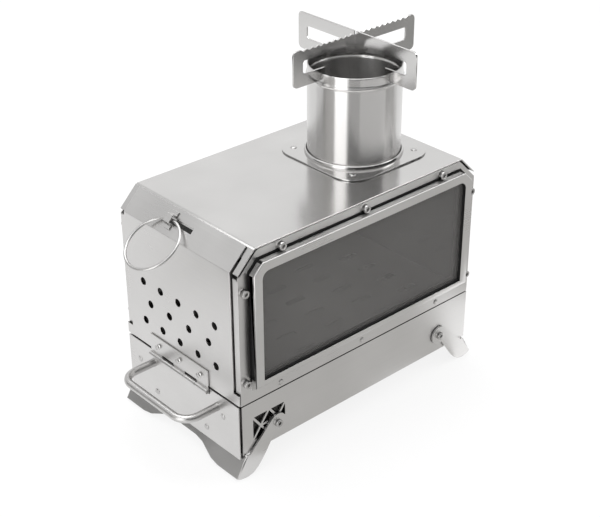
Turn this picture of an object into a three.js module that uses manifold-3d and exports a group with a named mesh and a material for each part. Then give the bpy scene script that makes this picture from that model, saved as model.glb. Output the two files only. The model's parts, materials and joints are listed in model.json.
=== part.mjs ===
// Tent wood stove of bent stainless sheet, in millimetres. X runs along the glass sides with the fuel
// door at -X, Y runs across, Z is up from the ground. While it is built, z = 0 is the seam between
// firebox and base, and x = 0, y = 0 the middle of the firebox.

import * as THREE from 'three';
import { mergeVertices } from 'three/addons/utils/BufferGeometryUtils.js';
import Module from 'manifold-3d';

// Firebox
const bodyLength = 250;
const bodyDepth = 141.4;
const bodyHeight = 130;
const cornerCut = 16.3;          // sloping corner between top and ends, along X and Z
const sheet = 1.2;
const clearance = 0.3;           // between pieces that touch
const seamGap = 0.9;             // dark line between firebox and base
const lipWidth = 5.7;            // side panel's return round the end faces
const slopeSlit = 2.8;           // side panel edge set back from the sloping corner
const panelFlange = 8.7;

// Window in each long side
const frameProud = 7;
const frameInset = 10;           // from the firebox's ends
const frameTopDrop = 9.5;        // from the firebox's top
const frameBorder = 7.6;         // width of the frame's face round the opening
const frameCornerCut = 8.4;
const frameReturn = 5.8;         // how far the frame's upper edges are folded back
const sideReturn = 2.4;          // how far its sides are
const slotWidth = 1.5;           // open gap round the folded edges
const tabGap = 2.2;              // between one folded edge and the next
const slotBottom = 18;
const riseStart = 10;            // where the panel starts to rise into the window frame
const riseEnd = 17;
const openingBottom = 20.4;
const openingCorner = 6.5;
const glassThickness = 3;
const sealLip = 2.4;
const sealHold = 2.8;            // how far the seal grips the glass edge
const sealWall = 1.6;
const innerFrameOverlap = 1;

// Cap screws and rivets
const screwHeadRadius = 3.2;
const screwHeadHeight = 3.4;
const pivotHeadHeight = 2.2;
const screwRadius = 1.9;
const socketRadius = 1.6;
const nutRadius = 3.3;
const nutThickness = 3.2;
const weldSink = 0.1;
const boltClearance = 0.4;
const panelScrewLow = 20;
const panelScrewDrop = 32;       // upper end screws, from the firebox's top
const panelScrewInset = 5.1;
const topScrewDrop = 5.9;
const topScrewSpacing = 84.5;
const rivetHeadRadius = 2.6;
const rivetHeadHeight = 1;
const rivetRadius = 1.5;
const sillRivetHeight = 5.5;
const sillRivetSpacing = 86;

// Fuel door
const doorProud = 0.4;           // gap between the firebox ends and the back of the door sheet
const doorSideGap = 1.2;
const doorBottom = 1.6;
const doorFootHeight = 9.4;      // full-width strip along the door's lower edge
const doorReturn = 6;
const doorTopGap = 1;
const ventHoleRadius = 3.25;
const ventRows = [[25, 22, 2], [42.8, 24, 1.5], [60.5, 22, 2]];   // height, pitch, pitches either side
const leafHalfWidth = 36.3;
const leafMiddleY = 1.6;
const leafTop = 16;
const leafThickness = 1;
const leafRivetSpacing = 26;
const leafRivetHeight = 8;
const knuckleRadius = 2;
const hingePinRadius = 0.9;
const hingeAxisZ = -2.4;
const hingeAxisOut = 0.6;         // from the leaf's outer face
const runningFit = 0.1;           // radial play of the hinge pin and the leg pivots

// Door pull
const ringRadius = 23;
const ringWireRadius = 1.15;
const ringTilt = 57.5;           // degrees out from hanging straight down
const ringMiddleY = 11;
const ringPivotDrop = 9.2;       // along X from the top of the slope to the ring's pivot
const bridgeWidth = 7;
const bridgeMiddleY = 13.5;
const bridgeThickness = 0.9;
const bridgeFoot = 3.6;
const bridgeSpan = 8;
const bridgeRise = 4.1;
const pullSlotLength = 31;
const pullSlotWidth = 4.8;
const pullSlotMiddleY = 4.5;

// Base and ash drawer
const baseHeight = 45;
const footDrop = 20;
const baseFlange = 8.7;
const sillDepth = 12;
const sillRise = 8.8;
const ventLength = 34;
const ventHeight = 23;
const ventInset = 10;
const ventTop = 13.5;
const ventCrosses = 2;
const ventBar = 1.8;
const drawerFrontProud = 2;
const drawerFrontDrop = 3.5;      // how far the drawer's front hangs below the base
const drawerFrontSideGap = 1.3;
const notchDepth = 4.9;          // room for the door's hinge
const notchGap = 0.5;
const trayEndGap = 25;
const traySideGap = 7.2;         // from the base's sides
const trayTop = 8;
const traySheet = 1;
const drawerRivetMiddleY = 2.6;
const drawerRivetUpper = [17.6, 17.7];   // in from the base's sides, and down from the seam
const drawerRivetLower = [38.8, 6];      // in from the base's sides, and up from its underside
const handleRadius = 3.2;
const handleMiddleY = -3.4;
const handleSpread = 40.4;
const handleReach = 31.6;
const handleBend = 12;
const handleDrop = 12;
const handleScrewRadius = 1.4;
const handleScrewDepth = 9;

// Grate
const grateLift = 2.4;
const grateSlotLength = 20;
const grateSlotWidth = 6.5;
const gratePitchX = 42;
const gratePitchY = 24;
const grateColumns = 5;
const grateMiddleX = 3;
const grateLipHeight = 12;

// Legs
const legPivotInset = 34;
const legPivotHeight = 16;       // above the underside of the base
const legEyeRadius = 8.3;
const legSheet = 1.5;
const legSideGap = 0.6;
const legEndInset = 2.5;
const legEndTilt = 30;           // degrees
const footFlat = 5;
const footTipRise = 2.4;         // the bent corner of the foot, above the ground
const footTipLength = 6;
const archHalfWidth = 48;
const archFlatHalfWidth = 15;
const archHeight = 8.6;
const archEase = 14;             // pull of the arch's curves
const heelPull = 10.5;           // pull of the arm's lower curve at the foot
const armPull = [13, 21];        // and at the eye, from the pivot along X and down
const eyeStart = -0.37 * Math.PI;

// Collar and pot stand
const collarInset = 68.5;        // from the firebox's +X end
const collarRadius = 37.9;
const collarWall = 1;
const collarHeight = 76.4;
const beadDrop = 8.8;
const beadSize = 0.9;
const collarPlateHalf = 47;
const collarPlateCorner = 20;
const collarPlateSheet = 1;
const collarRivetPlace = 34.4;
const collarRingWidth = 2.3;
const collarRingHeight = 2.4;
const standHalfLength = 65.4;
const standSheet = 1.5;
const standAboveRim = 23.6;
const standSmoothRise = 1.4;     // how much higher the smooth plate stands
const standBelowRim = 5.9;
const standEndBar = 10;
const standBeam = 9;
const standFootBar = 10;
const standFootInside = 4.9;     // how far the foot bar reaches in past the collar's outside
const standWebHalf = 9;
const standWebSpread = 13;
const standWebDepth = 15.8;
const standCorner = 4;
const toothPitch = 5.85;
const toothDepth = 1.5;

const wasm = await Module();
wasm.setup();

// A closed geometry becomes a solid once vertices in the same place are one vertex
function toSolid(geometry) {
  const bare = geometry.clone();
  bare.deleteAttribute('normal');
  bare.deleteAttribute('uv');
  const merged = mergeVertices(bare);
  return new wasm.Manifold(new wasm.Mesh({
    numProp: 3,
    vertProperties: new Float32Array(merged.attributes.position.array),
    triVerts: new Uint32Array(merged.index.array),
  }));
}

function toGeometry(solid) {
  const mesh = solid.getMesh();
  const geometry = new THREE.BufferGeometry();
  geometry.setAttribute('position', new THREE.BufferAttribute(new Float32Array(mesh.vertProperties), 3));
  geometry.setIndex(new THREE.BufferAttribute(new Uint32Array(mesh.triVerts), 1));
  geometry.computeVertexNormals();
  return geometry;
}

function join(pieces) {
  return toGeometry(pieces.map(toSolid).reduce((whole, piece) => whole.add(piece)));
}

function cut(piece, tools) {
  return toGeometry(tools.map(toSolid).reduce((rest, tool) => rest.subtract(tool), toSolid(piece)));
}

// A flat outline drawn in a named plane and given thickness along the third axis
const planeBases = {
  xy: new THREE.Matrix4(),
  xz: new THREE.Matrix4().makeBasis(new THREE.Vector3(1, 0, 0), new THREE.Vector3(0, 0, 1),
    new THREE.Vector3(0, -1, 0)),
  yz: new THREE.Matrix4().makeBasis(new THREE.Vector3(0, 1, 0), new THREE.Vector3(0, 0, 1),
    new THREE.Vector3(1, 0, 0)),
};

function plate(plane, outline, from, to) {
  const depth = Math.abs(to - from);
  const geometry = new THREE.ExtrudeGeometry(outline, { depth, bevelEnabled: false, curveSegments: 4 });
  geometry.applyMatrix4(planeBases[plane]);
  if (plane === 'xy') geometry.translate(0, 0, Math.min(from, to));
  if (plane === 'xz') geometry.translate(0, Math.max(from, to), 0);
  if (plane === 'yz') geometry.translate(Math.min(from, to), 0, 0);
  return geometry;
}

function block(from, to) {
  const size = to.map((end, i) => Math.abs(end - from[i]));
  const middle = to.map((end, i) => (end + from[i]) / 2);
  return new THREE.BoxGeometry(...size).translate(...middle);
}

function cylinder(axis, radius, from, to, centre, sides = 12) {
  const geometry = new THREE.CylinderGeometry(radius, radius, Math.abs(to - from), sides);
  const middle = (from + to) / 2;
  if (axis === 'x') geometry.rotateZ(Math.PI / 2).translate(middle, ...centre);
  if (axis === 'y') geometry.translate(centre[0], middle, centre[1]);
  if (axis === 'z') geometry.rotateX(Math.PI / 2).translate(...centre, middle);
  return geometry;
}

function outlineOf(points) {
  return new THREE.Shape(points.map(([a, b]) => new THREE.Vector2(a, b)));
}

// A rectangle whose two upper corners are cut at 45 degrees
function cutRectangle(half, bottom, top, corner) {
  return outlineOf([[-half, bottom], [half, bottom], [half, top - corner], [half - corner, top],
    [-half + corner, top], [-half, top - corner]]);
}

// A rectangle whose two upper corners are rounded
function archedRectangle(half, bottom, top, radius) {
  const shape = new THREE.Shape();
  shape.moveTo(-half, bottom);
  shape.lineTo(half, bottom);
  shape.absarc(half - radius, top - radius, radius, 0, Math.PI / 2, false);
  shape.absarc(-half + radius, top - radius, radius, Math.PI / 2, Math.PI, false);
  return shape;
}

// The 45 degree cut of a corner after its outline is moved outwards by a distance, or by another
// distance at the sides
function movedCorner(corner, distance, sideDistance = distance) {
  return corner + sideDistance + distance * (1 - Math.SQRT2);
}

// A rectangle whose corners are quarter circles
function roundRectangle(halfWidth, halfHeight, radius, middle = [0, 0]) {
  const shape = new THREE.Shape();
  const quarters = [[1, -1, -0.5], [1, 1, 0], [-1, 1, 0.5], [-1, -1, 1]];
  quarters.forEach(([sideX, sideY, start]) => {
    shape.absarc(middle[0] + sideX * (halfWidth - radius), middle[1] + sideY * (halfHeight - radius),
      radius, start * Math.PI, (start + 0.5) * Math.PI, false);
  });
  return shape;
}

// The closed section of a sheet: a line of corners and the same line moved sideways by the thickness,
// with mitred bends. A positive thickness goes to the left of the line's direction.
function sheetSection(corners, thickness) {
  const sides = corners.slice(1).map((corner, i) => {
    const along = new THREE.Vector2(corner[0] - corners[i][0], corner[1] - corners[i][1]).normalize();
    return new THREE.Vector2(-along.y, along.x);
  });
  const moved = corners.map(([a, b], i) => {
    const before = sides[Math.max(i - 1, 0)];
    const after = sides[Math.min(i, sides.length - 1)];
    const mitre = before.clone().add(after);
    mitre.multiplyScalar(2 * thickness / mitre.lengthSq());
    return [a + mitre.x, b + mitre.y];
  });
  return outlineOf([...corners, ...moved.reverse()]);
}

// A fastener along +Z: its head's underside is at z = 0 and its shank reaches down to -length
function capScrew(length, headHeight) {
  const solid = join([
    cylinder('z', screwHeadRadius, 0, headHeight, [0, 0], 16),
    cylinder('z', screwRadius, -length, weldSink, [0, 0], 10),
  ]);
  return cut(solid, [cylinder('z', socketRadius, headHeight / 2, headHeight + 1, [0, 0], 6)]);
}

function domeRivet(length) {
  const profile = [[0, -length], [rivetRadius, -length], [rivetRadius, 0], [rivetHeadRadius, 0],
    [rivetHeadRadius * 0.7, rivetHeadHeight * 0.75], [0, rivetHeadHeight]];
  const points = profile.map(([radius, height]) => new THREE.Vector2(radius, height));
  return new THREE.LatheGeometry(points, 10).rotateX(Math.PI / 2);
}

// A nut welded behind a sheet: its face is sunk a little into the sheet so the two are one body
function weldNut() {
  return cylinder('z', nutRadius, -nutThickness, weldSink, [0, 0], 6);
}

// Turns a piece made along +Z to point along a direction, with its own z = 0 at a place
function aim(geometry, direction, place) {
  const turn = new THREE.Quaternion().setFromUnitVectors(new THREE.Vector3(0, 0, 1),
    new THREE.Vector3(...direction).normalize());
  return geometry.clone().applyQuaternion(turn).translate(...place);
}

const steel = { color: 0xc9c8c6, metalness: 0.9, roughness: 0.38 };
const finishes = {
  sheetSteel: { ...steel },
  innerSteel: { ...steel, color: 0x8f8e8c, roughness: 0.5 },
  brushedSteel: { ...steel, color: 0xb9b8b6, roughness: 0.25 },
  fastener: { ...steel, color: 0xa9a9a9, roughness: 0.3 },
  glass: { color: 0x3a3937, metalness: 0, roughness: 0.05, transparent: true, opacity: 0.6 },
  seal: { color: 0x121212, metalness: 0, roughness: 0.95 },
};

const stove = new THREE.Group();

function add(name, geometry, finish) {
  const mesh = new THREE.Mesh(geometry, new THREE.MeshStandardMaterial(finishes[finish]));
  mesh.name = name;
  stove.add(mesh);
}

const halfLength = bodyLength / 2;
const halfDepth = bodyDepth / 2;
const collarX = halfLength - collarInset;
const lipInner = halfDepth - lipWidth;
const slopeTopX = halfLength - cornerCut;
const slopeBottomZ = bodyHeight - cornerCut;

const collarRivetSpots = [-1, 1].flatMap((sideX) => [-1, 1].map((sideY) => [
  collarX + sideX * collarRivetPlace, sideY * collarRivetPlace]));

// Firebox wrap: top, right slope and right end in one sheet, and the strips that frame the door
function bodyShell() {
  const wrap = sheetSection([[halfLength, seamGap], [halfLength, slopeBottomZ], [slopeTopX, bodyHeight],
    [-slopeTopX, bodyHeight]], sheet);
  const stopEnd = 0.45 * cornerCut;
  const stop = sheetSection([[slopeTopX - cornerCut, bodyHeight], [-slopeTopX, bodyHeight],
    [-slopeTopX - stopEnd, bodyHeight - stopEnd]], sheet);
  const strip = sheetSection([[slopeTopX - cornerCut, bodyHeight], [-slopeTopX, bodyHeight],
    [-halfLength, slopeBottomZ]], sheet);
  const endTrim = [lipInner - clearance, halfDepth + 1];
  const shell = join([
    plate('xz', wrap, -halfDepth, halfDepth),
    plate('xz', stop, -lipInner, lipInner),
    plate('xz', strip, lipInner, halfDepth),
    plate('xz', strip, -halfDepth, -lipInner),
  ]);
  return cut(shell, [
    ...[-1, 1].map((side) => block([slopeTopX + cornerCut / 2, side * endTrim[0], 0],
      [halfLength + 1, side * endTrim[1], slopeBottomZ])),
    cylinder('z', collarRadius + clearance, bodyHeight - 2 * cornerCut, bodyHeight + 1, [collarX, 0], 48),
    ...collarRivetHoles(),
  ]);
}

function collarRivetHoles() {
  return collarRivetSpots.map((spot) => cylinder('z', rivetRadius + boltClearance, bodyHeight - 4,
    bodyHeight + 4, spot, 10));
}

// Places where cap screws and rivets go through a side panel, as [x, z]
const panelScrewX = halfLength - panelScrewInset;
const panelScrews = [
  ...[-1, 0, 1].map((step) => [step * topScrewSpacing, bodyHeight - topScrewDrop]),
  ...[panelScrewLow, bodyHeight - panelScrewDrop].flatMap((height) => [
    [-panelScrewX, height], [panelScrewX, height]]),
];
const sillRivets = [-1, 0, 1].map((step) => [step * sillRivetSpacing, sillRivetHeight]);
const panelTop = bodyHeight - sheet - clearance - 0.1;
const frameHalfLength = halfLength - frameInset;
const frameTop = bodyHeight - frameTopDrop;
const openingHalfLength = frameHalfLength - frameBorder;
const openingTop = frameTop - frameBorder;
const slotHalf = frameHalfLength + clearance;
const slotTop = frameTop + slotWidth;
const frameFace = halfDepth + frameProud;

// The outer line of the panel's section, from the flat foot up the rise to the window frame's face
function risePoints(steps = 6) {
  const points = [[halfDepth, riseStart]];
  for (let step = 1; step <= steps; step += 1) {
    const share = step / steps;
    const ease = share * share * (3 - 2 * share);
    points.push([halfDepth + frameProud * ease, riseStart + (riseEnd - riseStart) * share]);
  }
  return points;
}

// One long side: a flat border, its returns, and the window frame raised out of the same sheet
function sidePanel(side) {
  const setBack = slopeSlit * Math.SQRT2;
  const flatOutline = outlineOf([[-halfLength, seamGap], [halfLength, seamGap],
    [halfLength, slopeBottomZ - setBack], [halfLength + slopeBottomZ - setBack - panelTop, panelTop],
    [-halfLength - slopeBottomZ + setBack + panelTop, panelTop], [-halfLength, slopeBottomZ - setBack]]);
  const slotCorner = movedCorner(frameCornerCut, slotWidth, clearance);
  const slot = outlineOf([[-frameHalfLength, riseStart], [frameHalfLength, riseStart],
    [frameHalfLength, slotBottom], [slotHalf, slotBottom], [slotHalf, slotTop - slotCorner],
    [slotHalf - slotCorner, slotTop], [-slotHalf + slotCorner, slotTop], [-slotHalf, slotTop - slotCorner],
    [-slotHalf, slotBottom], [-frameHalfLength, slotBottom]]);
  const flat = cut(plate('xz', flatOutline, side * (halfDepth - sheet), side * halfDepth), [
    plate('xz', slot, side * (halfDepth - 2 * sheet), side * (halfDepth + sheet)),
  ]);
  const section = sheetSection([[halfDepth, riseStart - 1], ...risePoints(), [frameFace, openingBottom + 1]]
    .map(([y, z]) => [side * y, z]), side * sheet);
  const frameOutline = cutRectangle(frameHalfLength, riseEnd, frameTop, frameCornerCut);
  const inside = cutRectangle(frameHalfLength - sheet, riseStart - 5, frameTop - sheet,
    movedCorner(frameCornerCut, -sheet));
  const opening = archedRectangle(openingHalfLength, openingBottom, openingTop, openingCorner);
  const face = plate('xz', frameOutline, side * frameFace, side * (frameFace - frameReturn));
  const foldEnd = frameTop - frameCornerCut - tabGap / 2;
  const openSides = [-1, 1].map((end) => block(
    [end * (frameHalfLength - 2 * sheet), side * (halfDepth - 1), 0],
    [end * (frameHalfLength + 1), side * (frameFace - sideReturn), foldEnd]));
  const tabX = frameHalfLength - frameCornerCut;
  const tabGaps = [-1, 1].map((end) => block([end * (tabX - tabGap / 2), side * (halfDepth - 1),
    frameTop - 2 * sheet], [end * (tabX + tabGap / 2), side * (frameFace - sheet), frameTop + 1]));
  const dish = cut(face, [plate('xz', inside, side * (frameFace - sheet), side * (halfDepth - 1)),
    ...openSides, ...tabGaps]);
  const cheekLine = risePoints().map(([y, z]) => [side * y, z]);
  const cheek = outlineOf([...cheekLine, [side * frameFace, slotBottom + 4],
    [side * (frameFace - frameReturn), slotBottom + 4], [side * (frameFace - frameReturn), slotBottom],
    [side * (halfDepth - sheet), slotBottom - 2], [side * (halfDepth - sheet), riseStart]]);
  const lips = [-1, 1].map((end) => block(
    [end * halfLength, side * lipInner, end < 0 ? doorBottom + doorFootHeight + clearance : seamGap],
    [end * (halfLength - sheet), side * halfDepth, slopeBottomZ - setBack]));
  const panel = join([
    flat,
    plate('yz', section, -frameHalfLength, frameHalfLength),
    dish,
    plate('yz', cheek, -frameHalfLength, -frameHalfLength + sheet),
    plate('yz', cheek, frameHalfLength - sheet, frameHalfLength),
    ...lips,
    block([-halfLength + sillDepth + 2, side * halfDepth, seamGap],
      [halfLength - sheet - clearance, side * (halfDepth - panelFlange), seamGap + sheet]),
    ...sillRivets.map(([x, z]) => aim(domeRivet(sheet * 2 + clearance), [0, side, 0],
      [x, side * (halfDepth - weldSink), z])),
  ]);
  return cut(panel, [
    plate('xz', opening, side * (frameFace + 1), side * (halfDepth - 3)),
    ...panelScrews.map((place) => cylinder('y', screwRadius + boltClearance, side * (halfDepth - 3),
      side * (halfDepth + 1), place)),
  ]);
}

// The ring of sheet inside the panel, with a nut welded behind each cap screw
const innerFrameFace = halfDepth - sheet - clearance;
function innerFrame(side) {
  const border = 0.6;
  const outer = cutRectangle(halfLength - sheet - border, seamGap + sheet + 1, panelTop - border,
    cornerCut + 1);
  const hole = archedRectangle(openingHalfLength - innerFrameOverlap, openingBottom + innerFrameOverlap,
    openingTop - innerFrameOverlap, openingCorner);
  const ring = join([
    plate('xz', outer, side * innerFrameFace, side * (innerFrameFace - sheet)),
    ...panelScrews.map(([x, z]) => aim(weldNut(), [0, side, 0], [x, side * (innerFrameFace - sheet), z])),
  ]);
  return cut(ring, [
    plate('xz', hole, side * (innerFrameFace + 1), side * (innerFrameFace - sheet - 1)),
    ...panelScrews.map((place) => cylinder('y', screwRadius + boltClearance, side * (innerFrameFace - 6),
      side * (innerFrameFace + 1), place)),
    ...sillRivets.map((place) => cylinder('y', rivetRadius + boltClearance, side * (innerFrameFace - 3),
      side * (innerFrameFace + 1), place, 12)),
  ]);
}

// The seal is a ring with a groove inside it that grips the edge of the glass
const glassInner = innerFrameFace + clearance + sealWall;
const grooveInner = glassInner - clearance;
const grooveOuter = glassInner + glassThickness + clearance;
const sealLipFace = grooveOuter + sealLip;
const grooveHalf = openingHalfLength + sealHold + clearance;
const grooveBottom = openingBottom - sealHold / 2 - clearance;
const grooveTop = openingTop + sealHold + clearance;

function windowSeal(side) {
  const inset = 0.4;
  const hole = archedRectangle(openingHalfLength + inset, openingBottom + inset, openingTop - inset,
    openingCorner);
  const sealBottom = grooveBottom - sealWall;
  const deep = cutRectangle(frameHalfLength - sheet - clearance, riseEnd + clearance,
    frameTop - sheet - clearance, movedCorner(frameCornerCut, -sheet - clearance));
  const wide = cutRectangle(slotHalf - clearance, slotBottom + clearance, slotTop - clearance,
    movedCorner(frameCornerCut, slotWidth - clearance, 0));
  const groove = archedRectangle(grooveHalf, grooveBottom, grooveTop, openingCorner + sealHold + clearance);
  const body = join([
    plate('xz', deep, side * (innerFrameFace + clearance), side * Math.min(sealLipFace,
      frameFace - sheet - clearance)),
    plate('xz', wide, side * (innerFrameFace + clearance), side * halfDepth),
  ]);
  const rise = risePoints().concat([[frameFace, openingBottom + 1], [frameFace + 5, openingBottom + 1],
    [frameFace + 5, riseStart]]).map(([y, z]) => [side * (y - sheet - clearance), z + clearance / 2]);
  return cut(body, [
    plate('xz', hole, side * (innerFrameFace - 1), side * (frameFace + 1)),
    plate('xz', groove, side * grooveInner, side * grooveOuter),
    block([-halfLength, side * (innerFrameFace - 1), sealBottom - 5],
      [halfLength, side * (frameFace + 1), riseEnd + clearance]),
    plate('yz', outlineOf(rise), -halfLength, halfLength),
  ]);
}

function windowGlass(side) {
  const pane = archedRectangle(grooveHalf - clearance, grooveBottom + clearance, grooveTop - clearance,
    openingCorner + sealHold);
  return plate('xz', pane, side * glassInner, side * (glassInner + glassThickness));
}

const panelScrewLength = sheet * 2 + clearance * 2 + nutThickness + 0.4;
function panelScrew(side, [x, z]) {
  return aim(capScrew(panelScrewLength, screwHeadHeight), [0, side, 0],
    [x, side * (halfDepth + clearance), z]);
}

// Firebox floor: a slotted sheet with raised edges, carried on the panels' lower returns
function grate() {
  const bottom = seamGap + sheet + clearance;
  const half = innerFrameFace - sheet - 1.2;
  const start = -halfLength + sillDepth + 2;
  const end = halfLength - sheet - clearance;
  const lipTop = bottom + grateLipHeight;
  const middle = (grateColumns - 1) / 2;
  const slots = Array.from({ length: grateColumns }, (_, column) => {
    const x = grateMiddleX + (column - middle) * gratePitchX;
    const rows = column % 2 ? [-2, -1, 0, 1, 2] : [-1.5, -0.5, 0.5, 1.5];
    return rows.map((row) => plate('xy', roundRectangle(grateSlotLength / 2, grateSlotWidth / 2,
      grateSlotWidth / 2 - 0.01, [x, row * gratePitchY]), bottom - 1, bottom + sheet + 1));
  }).flat();
  const sheetFloor = join([
    block([start, -half, bottom], [end, half, bottom + sheet]),
    block([start, -half, bottom], [end, -half + sheet, lipTop]),
    block([start, half - sheet, bottom], [end, half, lipTop]),
  ]);
  return cut(sheetFloor, slots);
}

// Fuel door: one bent sheet over the end face and the slope, with returns along its sides
const doorInnerX = halfLength + doorProud;
const doorOuterX = doorInnerX + sheet;
const doorHalf = lipInner - doorSideGap;
const doorTopX = slopeTopX + doorTopGap;
const slopeLift = (offset) => offset * (Math.SQRT2 - 1);

function doorLine(offset, topX = doorTopX) {
  const cornerZ = slopeBottomZ + slopeLift(offset);
  return [[-halfLength - offset, doorBottom], [-halfLength - offset, cornerZ],
    [-topX - offset / Math.SQRT2, cornerZ + (halfLength + offset - topX - offset / Math.SQRT2)]];
}

const slopeOut = [-Math.SQRT1_2, 0, Math.SQRT1_2];
const pullX = -(slopeTopX + ringPivotDrop);
const pullSurface = doorProud + sheet;
const pullZ = bodyHeight - ringPivotDrop + pullSurface * Math.SQRT2;

// A place on the door's slope, from distances up the slope, across and off the surface
function onSlope(up, across, off) {
  return [pullX + up * Math.SQRT1_2 - off * Math.SQRT1_2, across, pullZ + up * Math.SQRT1_2
    + off * Math.SQRT1_2];
}

function slopeBlock(length, width, height, up, across, off) {
  return new THREE.BoxGeometry(length, width, height).rotateY(-Math.PI / 4)
    .translate(...onSlope(up, across, off));
}

function doorPanel() {
  const [outerFoot, outerBend, outerTop] = doorLine(pullSurface);
  const skin = sheetSection([outerFoot, outerBend, outerTop], -sheet);
  const footTop = doorBottom + doorFootHeight;
  const returnLine = doorLine(doorProud + sheet / 2, slopeTopX + 0.6 * cornerCut);
  returnLine[0][1] = footTop + 1;
  const fold = sheetSection(returnLine, -doorReturn);
  const panel = join([
    plate('xz', skin, -doorHalf, doorHalf),
    block([-doorOuterX, -halfDepth + clearance, doorBottom],
      [-doorInnerX, halfDepth - clearance, footTop]),
    plate('xz', fold, doorHalf - sheet, doorHalf),
    plate('xz', fold, -doorHalf, -doorHalf + sheet),
  ]);
  const holes = ventRows.flatMap(([height, pitch, reach]) => {
    const count = Math.round(reach * 2) + 1;
    return Array.from({ length: count }, (_, i) => cylinder('x', ventHoleRadius, -doorOuterX - 1,
      -doorInnerX + 1, [(i - reach) * pitch, height], 16));
  });
  return cut(panel, [
    ...holes,
    ...leafRivetHoles(),
    slopeBlock(pullSlotWidth, pullSlotLength, 6, 0, pullSlotMiddleY, 0),
  ]);
}

const leafRivetSpots = [-1, 0, 1].map((step) => [leafMiddleY + step * leafRivetSpacing, leafRivetHeight]);

function leafRivetHoles() {
  return leafRivetSpots.map((spot) => cylinder('x', rivetRadius + boltClearance, -doorOuterX - 4,
    -doorInnerX + 2, spot, 12));
}

// Hinge: three knuckles rolled from the door's leaf and two from the sill's leaf, on one pin
const leafOuterX = doorOuterX + clearance + leafThickness;
const hingeX = -(leafOuterX + hingeAxisOut);
const leafStartY = leafMiddleY - leafHalfWidth;
const leafEndY = leafMiddleY + leafHalfWidth;
const knuckleLength = leafHalfWidth * 2 / 5;

function knuckles(numbers) {
  return numbers.map((number) => {
    const from = leafStartY + number * knuckleLength + clearance / 2;
    return cylinder('y', knuckleRadius, from, from + knuckleLength - clearance, [hingeX, hingeAxisZ], 16);
  });
}

function pinBore() {
  return cylinder('y', hingePinRadius + runningFit, -halfDepth, halfDepth, [hingeX, hingeAxisZ], 20);
}

function doorHingeLeaf() {
  const tongues = [0, 2, 4].map((number) => {
    const from = leafStartY + number * knuckleLength + clearance / 2;
    return block([-leafOuterX, from, hingeAxisZ], [-leafOuterX + leafThickness,
      from + knuckleLength - clearance, doorBottom + 1]);
  });
  const rivets = leafRivetSpots.map((spot) => aim(domeRivet(leafThickness + sheet + clearance + 0.5),
    [-1, 0, 0], [-leafOuterX + weldSink, ...spot]));
  const leaf = join([
    block([-leafOuterX, leafStartY, doorBottom], [-leafOuterX + leafThickness, leafEndY, leafTop]),
    ...tongues,
    ...knuckles([0, 2, 4]),
    ...rivets,
  ]);
  return cut(leaf, [pinBore()]);
}

const sillLeafTop = hingeAxisZ + knuckleRadius;
function sillHingeLeaf() {
  const tongues = [1, 3].map((number) => {
    const from = leafStartY + number * knuckleLength + clearance / 2;
    return block([hingeX, from, sillLeafTop - leafThickness], [hingeX + 2 * knuckleRadius,
      from + knuckleLength - clearance, sillLeafTop]);
  });
  const leaf = join([
    block([-leafOuterX + knuckleRadius, leafStartY, sillLeafTop - leafThickness],
      [-halfLength + sillDepth, leafEndY, sillLeafTop]),
    ...tongues,
    ...knuckles([1, 3]),
  ]);
  return cut(leaf, [pinBore()]);
}

function doorSill() {
  const back = -halfLength + sillDepth;
  const wallX = -halfLength + 2;
  const half = halfDepth - panelFlange - clearance;
  return join([
    block([-halfLength + 0.2, -half, sillLeafTop + clearance],
      [back, half, sillLeafTop + clearance + sheet]),
    block([wallX, -half, sillLeafTop + clearance], [wallX + sheet, half, sillRise]),
  ]);
}

// Pull ring under a small bridge on the door's slope
function ringBridge() {
  const half = bridgeSpan / 2 + bridgeFoot;
  const profile = sheetSection([[-half, clearance], [-bridgeSpan / 2, clearance],
    [-bridgeSpan / 2 + 1.2, bridgeRise], [bridgeSpan / 2 - 1.2, bridgeRise], [bridgeSpan / 2, clearance],
    [half, clearance]], bridgeThickness);
  const strap = new THREE.ExtrudeGeometry(profile, { depth: bridgeWidth, bevelEnabled: false });
  strap.translate(0, 0, -bridgeWidth / 2).applyMatrix4(planeBases.xz).rotateY(-Math.PI / 4);
  return strap.translate(...onSlope(0, bridgeMiddleY, 0));
}

const ringPivot = onSlope(0, ringMiddleY, 1.6);
function pullRing() {
  const ring = new THREE.TorusGeometry(ringRadius, ringWireRadius, 8, 48);
  ring.rotateY(Math.PI / 2).translate(0, 0, -ringRadius);
  ring.rotateY(THREE.MathUtils.degToRad(ringTilt));
  return ring.translate(...ringPivot);
}

// Base: a box open at the door end, with its top edges turned in
function baseShell() {
  const top = 0;
  const bottom = -baseHeight;
  const flangeEnd = halfDepth - baseFlange;
  const wall = halfDepth - sheet;
  const section = outlineOf([[-halfDepth, bottom], [halfDepth, bottom], [halfDepth, top], [flangeEnd, top],
    [flangeEnd, top - sheet], [wall, top - sheet], [wall, bottom + sheet], [-wall, bottom + sheet],
    [-wall, top - sheet], [-flangeEnd, top - sheet], [-flangeEnd, top], [-halfDepth, top]]);
  const tray = join([
    plate('yz', section, -halfLength + 0.4, halfLength),
    block([halfLength - sheet, -halfDepth, bottom], [halfLength, halfDepth, top]),
  ]);
  const pads = pivotPlaces.map(([end, side]) => cylinder('y', legEyeRadius, side * (halfDepth - sheet),
    side * halfDepth, [end * legPivotX, legPivotZ], 20));
  const nuts = pivotPlaces.map(([end, side]) => aim(weldNut(), [0, side, 0],
    [end * legPivotX, side * (halfDepth - sheet), legPivotZ]));
  const pivots = [-1, 1].map((end) => cylinder('y', screwRadius + boltClearance, -halfDepth - 5,
    halfDepth + 5, [end * legPivotX, legPivotZ]));
  return cut(join([cut(tray, ventHoles()), ...pads, ...nuts]), pivots);
}

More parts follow.
